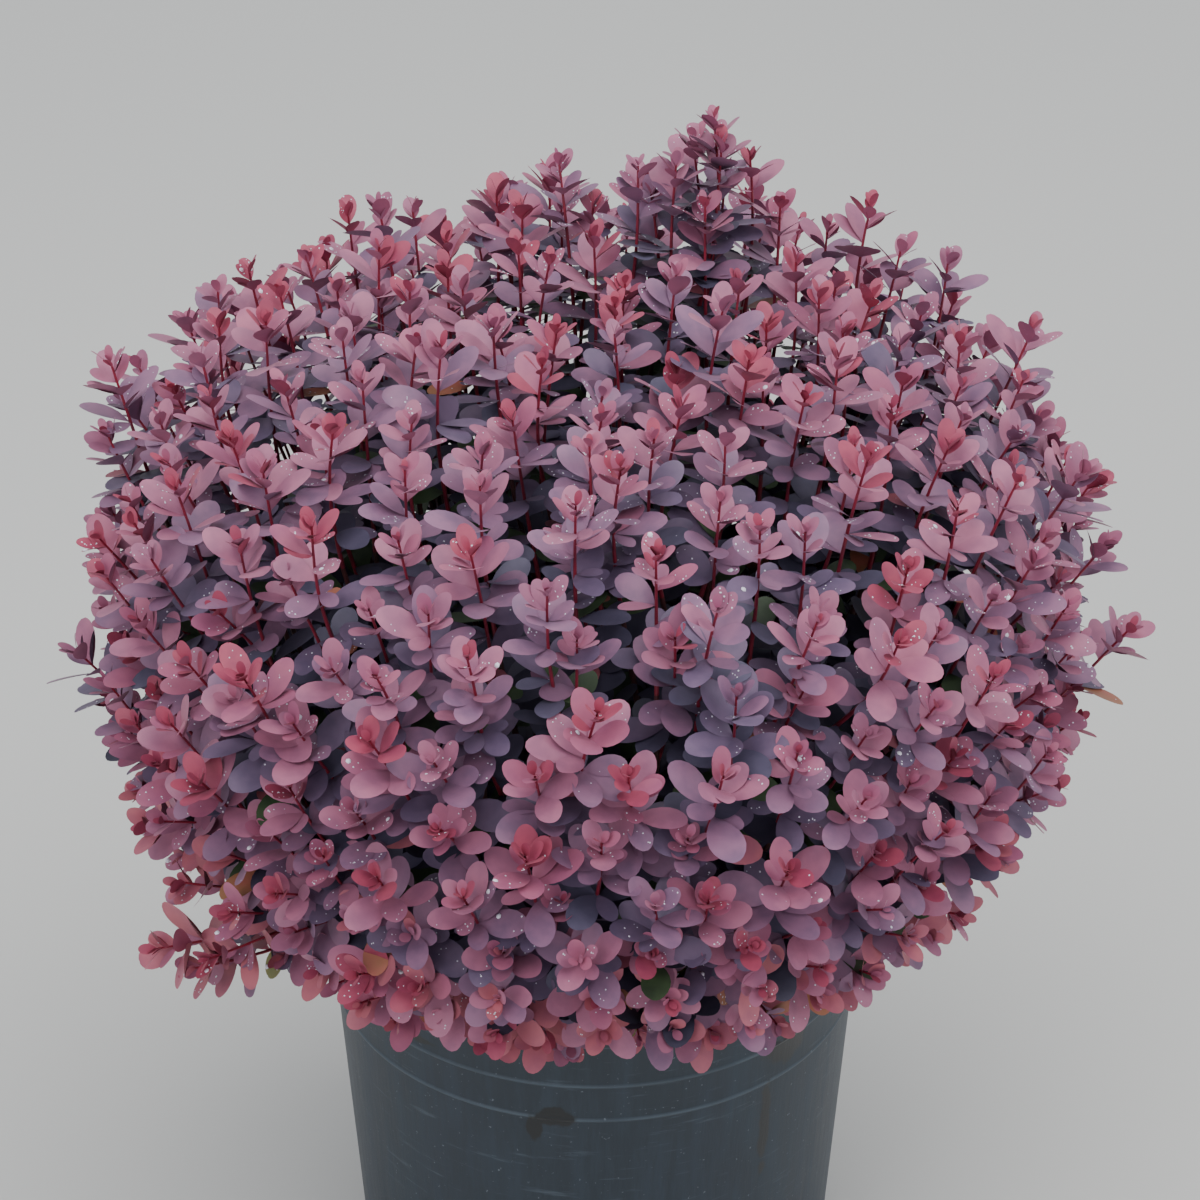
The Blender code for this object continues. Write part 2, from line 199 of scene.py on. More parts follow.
# Points and quads of a turned skin. The profile runs from the axis, round the outside, back to the axis
def lathe(profile, steps):
    profile = np.array(profile)
    turns = np.arange(steps) * 2 * math.pi / steps
    points = np.stack([
        profile[:, None, 0] * np.cos(turns),
        profile[:, None, 0] * np.sin(turns),
        np.repeat(profile[:, 1][:, None], steps, axis=1),
    ], axis=-1).reshape(-1, 3)
    rows, columns = np.meshgrid(np.arange(len(profile) - 1), np.arange(steps), indexing="ij")
    after = (columns + 1) % steps
    faces = np.stack([
        rows * steps + columns,
        (rows + 1) * steps + columns,
        (rows + 1) * steps + after,
        rows * steps + after,
    ], axis=-1)
    return points, faces.reshape(-1, 4)


# A profile with each inner corner replaced by three points, so that it catches a line of light
def softened(corners, radius):
    out = [corners[0]]
    for before, here, after in zip(corners, corners[1:], corners[2:]):
        before, here, after = map(np.array, (before, here, after))
        inward, outward = before - here, after - here
        reach = min(radius, 0.45 * np.linalg.norm(inward), 0.45 * np.linalg.norm(outward))
        first = here + inward / max(np.linalg.norm(inward), 1e-9) * reach
        last = here + outward / max(np.linalg.norm(outward), 1e-9) * reach
        out += [tuple(first), tuple((first + last) / 4 + here / 2), tuple(last)]
    return out + [corners[-1]]


# The whole pot's wetness, from 0 to 1: each mark is a ragged ellipse
def wetMask(tree, place):
    ragged = addNode(tree, "ShaderNodeTexNoise",
                     inputs={"Scale": perMetre(potMarks["wetEdge"]), "Detail": 3},
                     links={"Vector": (place, "Object")})
    wet = None
    for centre, reach in wetMarks:
        away = addNode(tree, "ShaderNodeVectorMath", {"operation": "SUBTRACT"}, {1: centre},
                       {0: (place, "Object")})
        scaled = addNode(tree, "ShaderNodeVectorMath", {"operation": "DIVIDE"}, {1: reach},
                         {0: (away, "Vector")})
        far = addNode(tree, "ShaderNodeVectorMath", {"operation": "LENGTH"},
                      links={0: (scaled, "Vector")})
        rough = addNode(tree, "ShaderNodeMath", {"operation": "MULTIPLY_ADD"}, {1: 1.6, 2: -0.8},
                        {0: (ragged, "Fac")})
        edge = addNode(tree, "ShaderNodeMath", {"operation": "ADD"},
                       links={0: (far, "Value"), 1: (rough, "Value")})
        mask = addNode(tree, "ShaderNodeMapRange",
                       inputs={"From Min": 0.85, "From Max": 1.1, "To Min": 1, "To Max": 0},
                       links={"Value": (edge, "Value")})
        if wet is None:
            wet = (mask, "Result")
        else:
            both = addNode(tree, "ShaderNodeMath", {"operation": "MAXIMUM"},
                           links={0: wet, 1: (mask, "Result")})
            wet = (both, "Value")
    return wet


def potMaterial():
    # Weathered polyethylene: near black with a blue-grey bloom, a soft satin shine, scuffed up and down
    material, tree, shader = newMaterial("weatheredPolyethylene", pot["colour"], 0.42, IOR=1.5)
    place = addNode(tree, "ShaderNodeTexCoord")
    stretched = addNode(tree, "ShaderNodeMapping", inputs={"Scale": (1, 1, 0.09)},
                        links={"Vector": (place, "Object")})
    scuffs = addNode(tree, "ShaderNodeTexNoise",
                     inputs={"Scale": perMetre(potMarks["scuffs"]), "Detail": 8, "Roughness": 0.7},
                     links={"Vector": (stretched, "Vector")})
    clouds = addNode(tree, "ShaderNodeTexNoise",
                     inputs={"Scale": perMetre(potMarks["clouds"]), "Detail": 4},
                     links={"Vector": (place, "Object")})
    specks = addNode(tree, "ShaderNodeTexNoise",
                     inputs={"Scale": perMetre(potMarks["specks"]), "Detail": 2},
                     links={"Vector": (place, "Object")})
    scuffRamp = addNode(tree, "ShaderNodeValToRGB", links={"Fac": (scuffs, "Fac")},
                        stops=((0.42, pot["colour"]), (0.72, pot["scuffColour"])))
    cloudMask = addNode(tree, "ShaderNodeValToRGB", links={"Fac": (clouds, "Fac")},
                        stops=((0.40, "#000000"), (0.70, "#8c8c8c")))
    scuffed = addNode(tree, "ShaderNodeMix", {"data_type": "RGBA"}, {"A": linear(pot["colour"])},
                      {"Factor": (cloudMask, "Color"), "B": (scuffRamp, "Color")})
    worn = addNode(tree, "ShaderNodeMix", {"data_type": "RGBA"}, {"Factor": 0.55},
                   {"A": (scuffRamp, "Color"), "B": (scuffed, "Result")})
    speckMask = addNode(tree, "ShaderNodeValToRGB", links={"Fac": (specks, "Fac")},
                        stops=((0.70, "#000000"), (0.76, "#b0b0b0")))
    dusty = addNode(tree, "ShaderNodeMix", {"data_type": "RGBA"}, {"B": linear(pot["dustColour"])},
                    {"Factor": (speckMask, "Color"), "A": (worn, "Result")})

    # Pale scratches round the pot, where it has been dragged past others
    level = addNode(tree, "ShaderNodeMapping", inputs={"Scale": (0.10, 0.10, 1)},
                    links={"Vector": (place, "Object")})
    scratches = addNode(tree, "ShaderNodeTexNoise",
                        inputs={"Scale": perMetre(potMarks["scratches"]), "Detail": 5, "Roughness": 0.65},
                        links={"Vector": (level, "Vector")})
    scratchMask = addNode(tree, "ShaderNodeValToRGB", links={"Fac": (scratches, "Fac")},
                          stops=((0.60, "#000000"), (0.74, "#a0a0a0")))
    rubbedAndHighlit = addNode(tree, "ShaderNodeMix", {"data_type": "RGBA"}, {"B": linear(pot["paleWearAndHighlightColour"])},
                     {"Factor": (scratchMask, "Color"), "A": (dusty, "Result")})

    # The ring lines and the foot of the rim stand proud, so they are painted paler: partly rubbed wear,
    # and partly a painted highlight where each ridge catches the light
    heights = addNode(tree, "ShaderNodeSeparateXYZ", links={"Vector": (place, "Object")})
    for drop in pot["ringDrops"] + (pot["rimDepth"],):
        away = addNode(tree, "ShaderNodeMath", {"operation": "SUBTRACT"}, {1: pot["height"] - drop},
                       {0: (heights, "Z")})
        far = addNode(tree, "ShaderNodeMath", {"operation": "ABSOLUTE"}, links={0: (away, "Value")})
        near = addNode(tree, "ShaderNodeMapRange",
                       inputs={"From Max": 0.0016, "To Min": 0.9, "To Max": 0.0},
                       links={"Value": (far, "Value")})
        broken = addNode(tree, "ShaderNodeMath", {"operation": "MULTIPLY"},
                         links={0: (near, "Result"), 1: (clouds, "Fac")})
        rubbedAndHighlit = addNode(tree, "ShaderNodeMix", {"data_type": "RGBA"}, {"B": linear(pot["paleWearAndHighlightColour"])},
                         {"Factor": (broken, "Value"), "A": (rubbedAndHighlit, "Result")})

    # Wet marks are darker, and shine more evenly than the dry scuffs
    wet = wetMask(tree, place)
    soaked = addNode(tree, "ShaderNodeMix", {"data_type": "RGBA"}, {"B": linear(pot["wetColour"])},
                     {"Factor": wet, "A": (rubbedAndHighlit, "Result")})
    tree.links.new(soaked.outputs["Result"], shader.inputs["Base Color"])
    dryness = addNode(tree, "ShaderNodeMapRange", inputs={"To Min": 0.36, "To Max": 0.62},
                      links={"Value": (scuffs, "Fac")})
    wetShine = addNode(tree, "ShaderNodeMix", {"data_type": "FLOAT"}, {"B": 0.34},
                       {"Factor": wet, "A": (dryness, "Result")})
    tree.links.new(wetShine.outputs["Result"], shader.inputs["Roughness"])
    bump = addNode(tree, "ShaderNodeBump", inputs={"Strength": 0.35, "Distance": 0.0006},
                   links={"Height": (scuffs, "Fac")})
    tree.links.new(bump.outputs["Normal"], shader.inputs["Normal"])
    return material


# The tub's profile, from the middle of its floor, up inside, over the rim and down to the underside
def potProfile():
    rimFoot = pot["height"] - pot["rimDepth"]
    corners = [
        (0, pot["floor"]),
        (potRadius(pot["floor"]) - pot["wall"], pot["floor"]),
        (potRadius(pot["height"]) - pot["wall"], pot["height"]),
        (pot["rimRadius"], pot["height"]),
        (pot["rimRadius"] - pot["rimTaper"], rimFoot),
        (potRadius(rimFoot), rimFoot),
    ]
    for drop in pot["ringDrops"]:
        for offset, stands in ((1, 0), (0, pot["ringStands"]), (-1, 0)):
            height = pot["height"] - drop + offset * pot["ringHeight"] / 2
            corners.append((potRadius(height) + stands, height))
    foot = pot["footRound"]
    corners += [(potRadius(foot), foot), (pot["baseRadius"] - foot, 0), (0, 0)]
    return softened(corners, pot["cornerRound"])


# Drain holes, cut on the slant through the corner of the wall and floor
def cutDrains(piece):
    cutters = []
    for i in range(pot["drains"]):
        turn = 2 * math.pi * (i + 0.5) / pot["drains"]
        bpy.ops.mesh.primitive_cylinder_add(vertices=28, radius=pot["drainRadius"], depth=0.03)
        cutter = bpy.context.object
        cutter.location = polar(turn, pot["baseRadius"] - 0.001, 0.003)
        cutter.rotation_euler = (0, math.radians(pot["drainTilt"]), turn)
        cut = piece.modifiers.new("drain", "BOOLEAN")
        cut.object = cutter
        cutters.append(cutter)
    bpy.context.view_layer.update()
    solved = piece.evaluated_get(bpy.context.evaluated_depsgraph_get())
    cutMesh = bpy.data.meshes.new_from_object(solved)
    piece.modifiers.clear()
    piece.data = cutMesh
    for cutter in cutters:
        bpy.data.objects.remove(cutter)


def makePot():
    points, faces = lathe(potProfile(), pot["steps"])
    piece = newPiece("potShell", points, faces[:, ::-1], potMaterial())
    # Where the skin meets the axis its points fall in one place, so they become one
    shape = bmesh.new()
    shape.from_mesh(piece.data)
    bmesh.ops.remove_doubles(shape, verts=shape.verts, dist=0.00002)
    bmesh.ops.recalc_face_normals(shape, faces=shape.faces)
    shape.to_mesh(piece.data)
    shape.free()
    cutDrains(piece)
    piece.data.polygons.foreach_set("use_smooth", [True] * len(piece.data.polygons))
    piece.data.set_sharp_from_angle(angle=math.radians(pot["sharpAngle"]))
    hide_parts("pot")


# Crown: the shape that the shoots fill

crown = {
    "fork": np.array([0, 0, 0.2403]),  # where the boughs part, at the top of the foot
    "middle": 0.413,  # height at which the crown is widest
    "radius": 0.253,
    "rise": 0.155,  # from the middle to the top
    "drop": 0.185,  # and to the underside
    "power": 3.0,  # 2 is an ellipse, and more is squarer
    "skirt": 0.158,  # how close to the axis the underside has shoots
    "spacing": 0.040,
    "rowSpacing": 0.87,  # as a share of the spacing, and so is the next
    "clearance": 0.7,
    "depths": (0.925, 1.0),  # how far from the fork each tip is, as a share of the crown
    "profileSteps": 1200,
    "seed": 11,
}

# Shoots that outgrow the mound or mark its outline: degrees from +X, distance from the axis, height
leaders = (
    (62, 0.125, 0.610), (78, 0.105, 0.588), (98, 0.131, 0.578), (132, 0.162, 0.556),
    (154, 0.209, 0.524), (175, 0.236, 0.523), (43, 0.189, 0.553), (34, 0.215, 0.527),
    (16, 0.226, 0.518), (-5, 0.252, 0.446), (-11, 0.266, 0.414), (-175, 0.258, 0.384),
    (-149, 0.252, 0.276), (-43, 0.224, 0.300), (-94, 0.171, 0.247),
)

# Shoots that stand out, as (x, y, z) of their tips
proudShoots = (
    (0.002, -0.242, 0.489), (0.058, -0.244, 0.457), (-0.159, -0.190, 0.475), (-0.008, -0.177, 0.557),
    (0.125, -0.124, 0.552), (0.074, -0.176, 0.545), (-0.127, -0.161, 0.537), (0.100, -0.206, 0.514),
    (0.138, -0.196, 0.497), (0.166, -0.131, 0.530), (-0.021, -0.209, 0.532), (-0.101, -0.228, 0.465),
    (-0.183, -0.174, 0.407), (-0.056, -0.227, 0.509), (0.061, -0.020, 0.574), (0.012, -0.151, 0.562),
    (-0.071, -0.057, 0.572), (-0.104, 0.050, 0.570), (0.055, -0.213, 0.525), (-0.031, -0.250, 0.418),
    (0.088, -0.237, 0.401), (0.124, -0.220, 0.428),
    # Round the tallest shoot
    (0.040, 0.104, 0.588), (0.077, 0.117, 0.586), (0.054, 0.088, 0.575), (0.092, 0.104, 0.566),
    (0.028, 0.116, 0.566), (0.066, 0.130, 0.572), (-0.036, 0.121, 0.556), (0.000, 0.126, 0.556),
    (0.063, 0.104, 0.600), (0.048, 0.114, 0.596),
    # The low sprays that stick out on both sides
    (-0.205, -0.112, 0.304), (-0.190, -0.140, 0.276), (-0.221, -0.095, 0.325), (-0.200, -0.128, 0.262),
    (0.200, -0.112, 0.316), (0.180, -0.130, 0.296), (0.222, -0.085, 0.340),
)


# Distance from the axis and height, from the crown's top at 90 degrees to its underside
def crownProfile(angle):
    power = 2 / crown["power"]
    half = crown["rise"] if angle > 0 else crown["drop"]
    lift = math.copysign(abs(math.sin(angle)) ** power, angle)
    return crown["radius"] * math.cos(angle) ** power, crown["middle"] + half * lift


# The crown's own outward direction at a point
def crownNormal(point):
    half = crown["rise"] if point[2] > crown["middle"] else crown["drop"]
    power = crown["power"] - 1
    outward = (math.hypot(point[0], point[1]) / crown["radius"]) ** power / crown["radius"]
    upward = (abs(point[2] - crown["middle"]) / half) ** power / half
    turn = math.atan2(point[1], point[0])
    return unit(polar(turn, outward, math.copysign(upward, point[2] - crown["middle"])))


# The named shoots first, then rows that fill the crown evenly from its top to its skirt
def shootTips(dice):
    tips = [polar(math.radians(turn), distance, height) for turn, distance, height in leaders]
    tips += [np.array(tip) for tip in proudShoots]
    named = len(tips)
    steps = crown["profileSteps"]
    rowStep = crown["spacing"] * crown["rowSpacing"]
    travelled = rowStep * 0.45
    before = crownProfile(math.pi / 2)
    row = 0
    for i in range(1, steps):
        here = crownProfile(math.pi / 2 - math.pi * i / steps)
        travelled += math.dist(before, here)
        before = here
        if i > steps / 2 and here[0] < crown["skirt"]:
            break
        if travelled < rowStep:
            continue
        travelled -= rowStep
        row += 1
        count = max(1, round(2 * math.pi * here[0] / crown["spacing"]))
        for k in range(count):
            turn = 2 * math.pi * (k + 0.5 * (row % 2) + dice.uniform(-0.2, 0.2)) / count
            tip = polar(turn, *here)
            tip = crown["fork"] + (tip - crown["fork"]) * dice.uniform(*crown["depths"])
            nearest = min(np.linalg.norm(tip - other) for other in tips[:named])
            if nearest > crown["clearance"] * crown["spacing"]:
                tips.append(tip)
    return tips


# Shoots: how leaves sit along them, from the tip down

shoot = {
    "length": 0.092,
    "rise": 0.62,  # how far a shoot turns up from the crown's own outward direction
    "firstGap": 0.0026,  # between ranks of leaves at the tip
    "lastGap": 0.0098,  # and lower down
    "leafLength": 0.0255,
    "leafSpread": (18, 72),  # degrees from the stem, at the tip and lower down
    "leafTurn": 137.5,  # degrees from one rank of leaves to the next
    "youngLeaf": 0.32,  # share of full size at the tip
    "leafGrowth": 0.155,  # and how much each rank adds
    "oldAt": 0.085,  # distance below the tip at which a leaf has its oldest colour
    "tipCover": 0.006,  # the stem ends this far below the leaves' tip
    "stemPoints": 8,
    "stemTip": 0.00055,
    "stemFoot": 0.00125,
}


def shootAxis(tip, dice):
    height = max(0.0, min(1.0, (tip[2] - 0.27) / 0.12))  # 0 over the rim, 1 from the shoulders up
    radial = unit(tip - crown["fork"])
    outward = crownNormal(tip)
    outward[2] = max(outward[2], 0.0)  # the lowest shoots lie level over the pot's rim
    rise = shoot["rise"] * height
    wanted = unit(unit(outward) * (1 - rise) + np.array([0, 0, 1]) * (0.06 + rise))
    lean = np.array([dice.uniform(-0.10, 0.10) for _ in range(3)])
    return unit(wanted * 0.85 + radial * 0.15 + lean)


# A direction square to axis, turned about it
def sideOf(axis, turn):
    side = np.cross(axis, [0, 0, 1])
    if np.linalg.norm(side) < 0.02:
        side = np.array([1.0, 0, 0])
    side = unit(side)
    return side * math.cos(turn) + np.cross(axis, side) * math.sin(turn)


# A place on a bowed stem, this far down from its end
def alongStem(end, axis, bow, length, down):
    share = min(1.0, down / length)
    return end - axis * down + bow * math.sin(math.pi * share)


# Stems as lists of points from the end down, and leaves as rows of root, direction, face, length, age,
# how much they belong to the low skirt, and rank from the tip
def growShoots(dice):
    stems, leaves = [], []
    for tip in shootTips(dice):
        axis = shootAxis(tip, dice)
        length = shoot["length"] * dice.uniform(0.9, 1.12)
        bow = sideOf(axis, dice.uniform(0, 2 * math.pi)) * dice.uniform(0.001, 0.005)
        end = tip - axis * shoot["tipCover"]
        low = max(0.0, min(1.0, (0.37 - tip[2]) / 0.1)) * (1.0 if tip[1] < 0.05 else 0.5)
        redness = dice.gauss(0, 0.10)
        vigour = dice.uniform(0.86, 1.14)
        spans = shoot["stemPoints"] - 1
        stems.append([alongStem(end, axis, bow, length, length * k / spans) for k in range(spans + 1)])
        down, turn, rank = 0.0, dice.uniform(0, 2 * math.pi), 0
        while down < length * 0.96:
            grown = min(1.0, shoot["youngLeaf"] + shoot["leafGrowth"] * rank) * vigour
            spread = shoot["leafSpread"]
            angle = spread[0] + (spread[1] - spread[0]) * min(1.0, rank / 7)
            count = 2 if rank < 2 else dice.choice((2, 2, 3, 3))
            if down > 0.06:
                count = dice.choice((1, 2, 2))
            for k in range(count):
                size = (1.0 if k == 0 else dice.uniform(0.55, 0.92)) * dice.uniform(0.9, 1.1)
                off = 0 if k == 0 else (math.radians(dice.uniform(38, 75)) * (1 if k == 1 else -1))
                if rank == 0:
                    off = math.pi * k
                outward = sideOf(axis, turn + off)
                tilt = math.radians(angle + dice.uniform(-10, 10))
                way = axis * math.cos(tilt) + outward * math.sin(tilt)
                face = axis * math.sin(tilt) - outward * math.cos(tilt)
                face = face + np.array([0, 0, 0.35]) + unit(tip - crown["fork"]) * 0.2
                face = face + np.cross(way, face) * dice.uniform(-0.35, 0.35)
                root = alongStem(end, axis, bow, length, down)
                age = down / shoot["oldAt"] - redness + dice.gauss(0, 0.05)
                leaves.append((root, unit(way), face, shoot["leafLength"] * grown * size, age, low, rank))
            turn += math.radians(shoot["leafTurn"]) + dice.uniform(-0.2, 0.2)
            gap = shoot["firstGap"] + (shoot["lastGap"] - shoot["firstGap"]) * min(1.0, rank / 6)
            down += gap * dice.uniform(0.85, 1.15)
            rank += 1
    return stems, leaves


# Leaves: spoon-shaped blades, by colour from the red tips to the dark inside

leafShape = {
    "rows": (  # share of the length, half width
        (0.0, 0.020), (0.08, 0.045), (0.18, 0.120), (0.31, 0.198), (0.46, 0.252),
        (0.61, 0.272), (0.75, 0.254), (0.87, 0.200), (0.95, 0.128), (0.99, 0.055),
    ),
    "fold": 0.16,  # how far the sides rise from the midrib
    "droop": 0.10,
    "cup": 0.25,
    "columns": 3,
    "mottleSize": 14,  # in millimetres, as is the next
    "veinSize": 1.5,
}

# Upper limit of age, colour, and the tone it is mottled with
leafKinds = {
    "tipRed": (0.02, "#a94a61", "#933c56"),
    "roseRed": (0.12, "#ad637d", "#9c5775"),
    "rose": (0.30, "#ad6b85", "#975e79"),
    "mauve": (0.50, "#936884", "#7b5b77"),
    "plum": (0.71, "#735e79", "#60506b"),
    "slate": (0.91, "#5f5870", "#4f4a61"),
    "deepPlum": (9.0, "#444054", "#363345"),
}
# The skirt's warm colours and the old green: colour, and the tone it is mottled with
lowKinds = {
    "coral": ("#b56470", "#a0566a"),
    "salmon": ("#ab6253", "#9a6a4a"),
    "olive": ("#86793f", "#687038"),
    "darkGreen": ("#44573a", "#33412e"),
}
# Shares of the leaves that have a colour off their age
leafMix = {"warmLow": 0.55, "greenInside": 0.22, "oddWarm": 0.035}


# How far a blade stands off the line of its stalk, as a share of its length
def leafHeight(x, share):
    return leafShape["fold"] * np.abs(x) - leafShape["droop"] * share**2 - leafShape["cup"] * x**2


def leafTemplate():
    rows, columns = np.array(leafShape["rows"]), leafShape["columns"]
    across = np.linspace(-1, 1, columns)
    share, half = rows[:, 0][:, None], rows[:, 1][:, None]
    x = across[None, :] * half
    points = np.stack([x, share + np.zeros_like(x), leafHeight(x, share)], axis=-1).reshape(-1, 3)
    faces = []
    for r in range(len(rows) - 1):
        for c in range(columns - 1):
            a = r * columns + c
            faces.append((a, a + 1, a + 1 + columns, a + columns))
    return points, np.array(faces)


# Every leaf's points: an array of leaf, point, coordinate
def placeLeaves(leaves, template):
    roots = np.array([leaf[0] for leaf in leaves])
    way = np.array([leaf[1] for leaf in leaves])
    face = np.array([leaf[2] for leaf in leaves])
    length = np.array([leaf[3] for leaf in leaves])
    side = unit(np.cross(way, face))
    up = np.cross(side, way)
    local = template[None, :, :] * length[:, None, None]
    return (roots[:, None, :] + local[..., 0:1] * side[:, None, :] + local[..., 1:2] * way[:, None, :]
            + local[..., 2:3] * up[:, None, :])


# True for each leaf that stays in the box and off the pot
def keepsClear(points):
    inBox = ((points > boxLow) & (points < boxHigh)).all(axis=(1, 2))
    across = np.hypot(points[..., 0], points[..., 1])
    onPot = ((across < pot["rimRadius"] + 0.002) & (points[..., 2] < pot["height"] + 0.0015)).any(axis=1)
    return inBox & ~onPot


def leafMaterial(name, baseHex, mottleHex):
    # Living leaf: a matt waxy skin that the sky greys a little, mottled in two close tones, finely veined
    material, tree, shader = newMaterial(name, baseHex, 0.5, IOR=1.45,
                                         Sheen_Weight=0.06, Sheen_Roughness=0.4)
    place = addNode(tree, "ShaderNodeTexCoord")
    mottle = addNode(tree, "ShaderNodeTexNoise",
                     inputs={"Scale": perMetre(leafShape["mottleSize"]), "Detail": 3},
                     links={"Vector": (place, "Object")})
    tones = addNode(tree, "ShaderNodeValToRGB", links={"Fac": (mottle, "Fac")},
                    stops=((0.38, baseHex), (0.64, mottleHex)))
    tree.links.new(tones.outputs["Color"], shader.inputs["Base Color"])
    # Real veins are 0.3 mm apart: drawn at 1.5 mm, so that they show
    veins = addNode(tree, "ShaderNodeTexVoronoi", {"feature": "DISTANCE_TO_EDGE"},
                    {"Scale": perMetre(leafShape["veinSize"])}, {"Vector": (place, "Object")})
    bump = addNode(tree, "ShaderNodeBump", inputs={"Strength": 0.12, "Distance": 0.0002},
                   links={"Height": (veins, "Distance")})
    tree.links.new(bump.outputs["Normal"], shader.inputs["Normal"])
    return material


# The colour group of a leaf of this age, and of this much skirt
def kindOfLeaf(age, low, dice):
    if low > 0.15 and dice.random() < leafMix["warmLow"] * low:
        if age < 0.30:
            return "coral"
        if age < 0.55:
            return dice.choice(("coral", "salmon", "mauve"))
        if age < 0.85:
            return dice.choice(("salmon", "plum", "plum", "olive"))
        return dice.choice(("darkGreen", "deepPlum", "olive"))
    if age > 0.80 and dice.random() < leafMix["greenInside"]:
        return "darkGreen"
    if age > 0.45 and dice.random() < leafMix["oddWarm"]:
        return dice.choice(("salmon", "coral"))
    for name, (limit, _, _) in leafKinds.items():
        if age < limit:
            return name
    return "deepPlum"


# The old leaves low on the branches, which close the inside of the crown
def innerLeaves(branches, dice):
    leaves = []
    for path in branches:
        for share in (0.42, 0.54, 0.66, 0.78, 0.9):
            here = path[round(share * (len(path) - 1))]
            axis = unit(path[-1] - path[-2])
            for _ in range(dice.choice((1, 2, 2, 3))):
                outward = sideOf(axis, dice.uniform(0, 2 * math.pi))
                tilt = math.radians(dice.uniform(40, 80))
                way = unit(axis * math.cos(tilt) + outward * math.sin(tilt))
                face = axis * math.sin(tilt) - outward * math.cos(tilt) + np.array([0, 0, 0.3])
                root = here + (path[-1] - path[0]) * dice.uniform(-0.05, 0.05)
                length = shoot["leafLength"] * dice.uniform(0.75, 1.1)
                leaves.append((root, way, face, length, dice.uniform(0.85, 1.3), 0.0, 20))
    return leaves


# One piece for each colour. Returns the leaves that the rain falls on
def makeLeaves(leaves, dice):
    colours = {name: (base, mottle) for name, (_, base, mottle) in leafKinds.items()}
    colours.update(lowKinds)
    kinds = {name: [] for name in colours}
    for leaf in leaves:
        kinds[kindOfLeaf(leaf[4], leaf[5], dice)].append(leaf)
    template, quads = leafTemplate()
    upper = []
    for name, mine in kinds.items():
        if not mine:
            continue
        points = placeLeaves(mine, template)
        kept = keepsClear(points)
        points = points[kept]
        mine = [leaf for leaf, keep in zip(mine, kept) if keep]
        faces = manyOf(quads, len(points), len(template))
        material = leafMaterial(f"leaf_{name}", *colours[name])
        piece = newPiece(f"leaves_{name}", points.reshape(-1, 3), faces, material)
        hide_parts(*foliageNodes)
        upper += [leaf for leaf in mine if leaf[6] >= 2 and leaf[4] < 0.75]
        print("leaves", name, len(points), "leaves,", 2 * len(faces), "triangles")
    return upper


# Rain: small round drops on the upper leaves

rain = {
    "share": 0.30,  # of the leaves are wet
    "most": 7,  # drops on a leaf
    "sizes": (0.00022, 0.00055),
    "large": 0.02,  # share of larger drops
    "largeSize": 0.0014,
    "sides": 6,
    "rings": ((1.0, 0.0), (0.72, 0.45)),  # radius and height, as shares of the drop's size
    "top": 0.62,
    "colour": "#e2deea",
}


def dropTemplate():
    sides = rain["sides"]
    points = []
    for radius, height in rain["rings"]:
        for k in range(sides):
            turn = k * 2 * math.pi / sides
            points.append((radius * math.cos(turn), radius * math.sin(turn), height))
    points.append((0, 0, rain["top"]))
    triangles = []
    for k in range(sides):
        after = (k + 1) % sides
        triangles += [(k, after, sides + after), (k, sides + after, sides + k)]
        triangles += [(sides + k, sides + after, 2 * sides)]
    return np.array(points), np.array(triangles)


def makeRain(leaves, dice):
    # Water: clear, and drawn pale because so small a drop shows only the sky that it mirrors
    material, _, _ = newMaterial("rainWater", rain["colour"], 0.05, IOR=1.333)
    template, triangles = dropTemplate()
    shares, halves = zip(*leafShape["rows"])
    drops = []
    for root, way, face, length, *_ in leaves:
        if dice.random() > rain["share"] or face[2] < 0:
            continue
        side = unit(np.cross(way, face))
        up = np.cross(side, way)
        for _ in range(dice.randint(1, rain["most"])):
            share, across = dice.uniform(0.35, 0.92), dice.uniform(-0.8, 0.8)
            x = across * np.interp(share, shares, halves)
            place = root + (side * x + way * share + up * leafHeight(x, share)) * length
            size = dice.uniform(*rain["sizes"])
            if dice.random() < rain["large"]:
                size = rain["largeSize"]
            drops.append((place, side * size, way * size, up * size))
    drops = np.array(drops)
    points = (drops[:, 0:1]  # the drop's place, and then its side, way and up
              + template[None, :, 0:1] * drops[:, 1:2]
              + template[None, :, 1:2] * drops[:, 2:3]
              + template[None, :, 2:3] * drops[:, 3:4])
    points = points[keepsClear(points)]
    faces = manyOf(triangles, len(points), len(template))
    piece = newPiece("rainDrops", points.reshape(-1, 3), faces, material)
    print("rain", len(points), "drops,", len(faces), "triangles")


# Wood: young stems, branches, boughs and foot

wood = {
    "masses": ((8, 19, 22.5), (5, 53, 18), (1, 90, 0)),  # low, high and top: count, rise and first turn
    "ground": 0.2193,
    "burl": 0.020,
    "boughBase": 0.0042,
    "boughTip": 0.0026,
    "boughEnd": 0.085,  # distance from the fork at which a bough parts into branches
    "boughArch": 0.010,
    "branchFoot": 0.0022,
    "boughRelief": 0.05,
    "footRelief": 0.0004,
    "youngColour": "#8e2438",
    "youngDark": "#6c1c30",
    "oldColour": "#5a2c30",
    "oldDark": "#43302c",
    "barkColour": "#4b3b33",
    "barkLight": "#77665a",
}


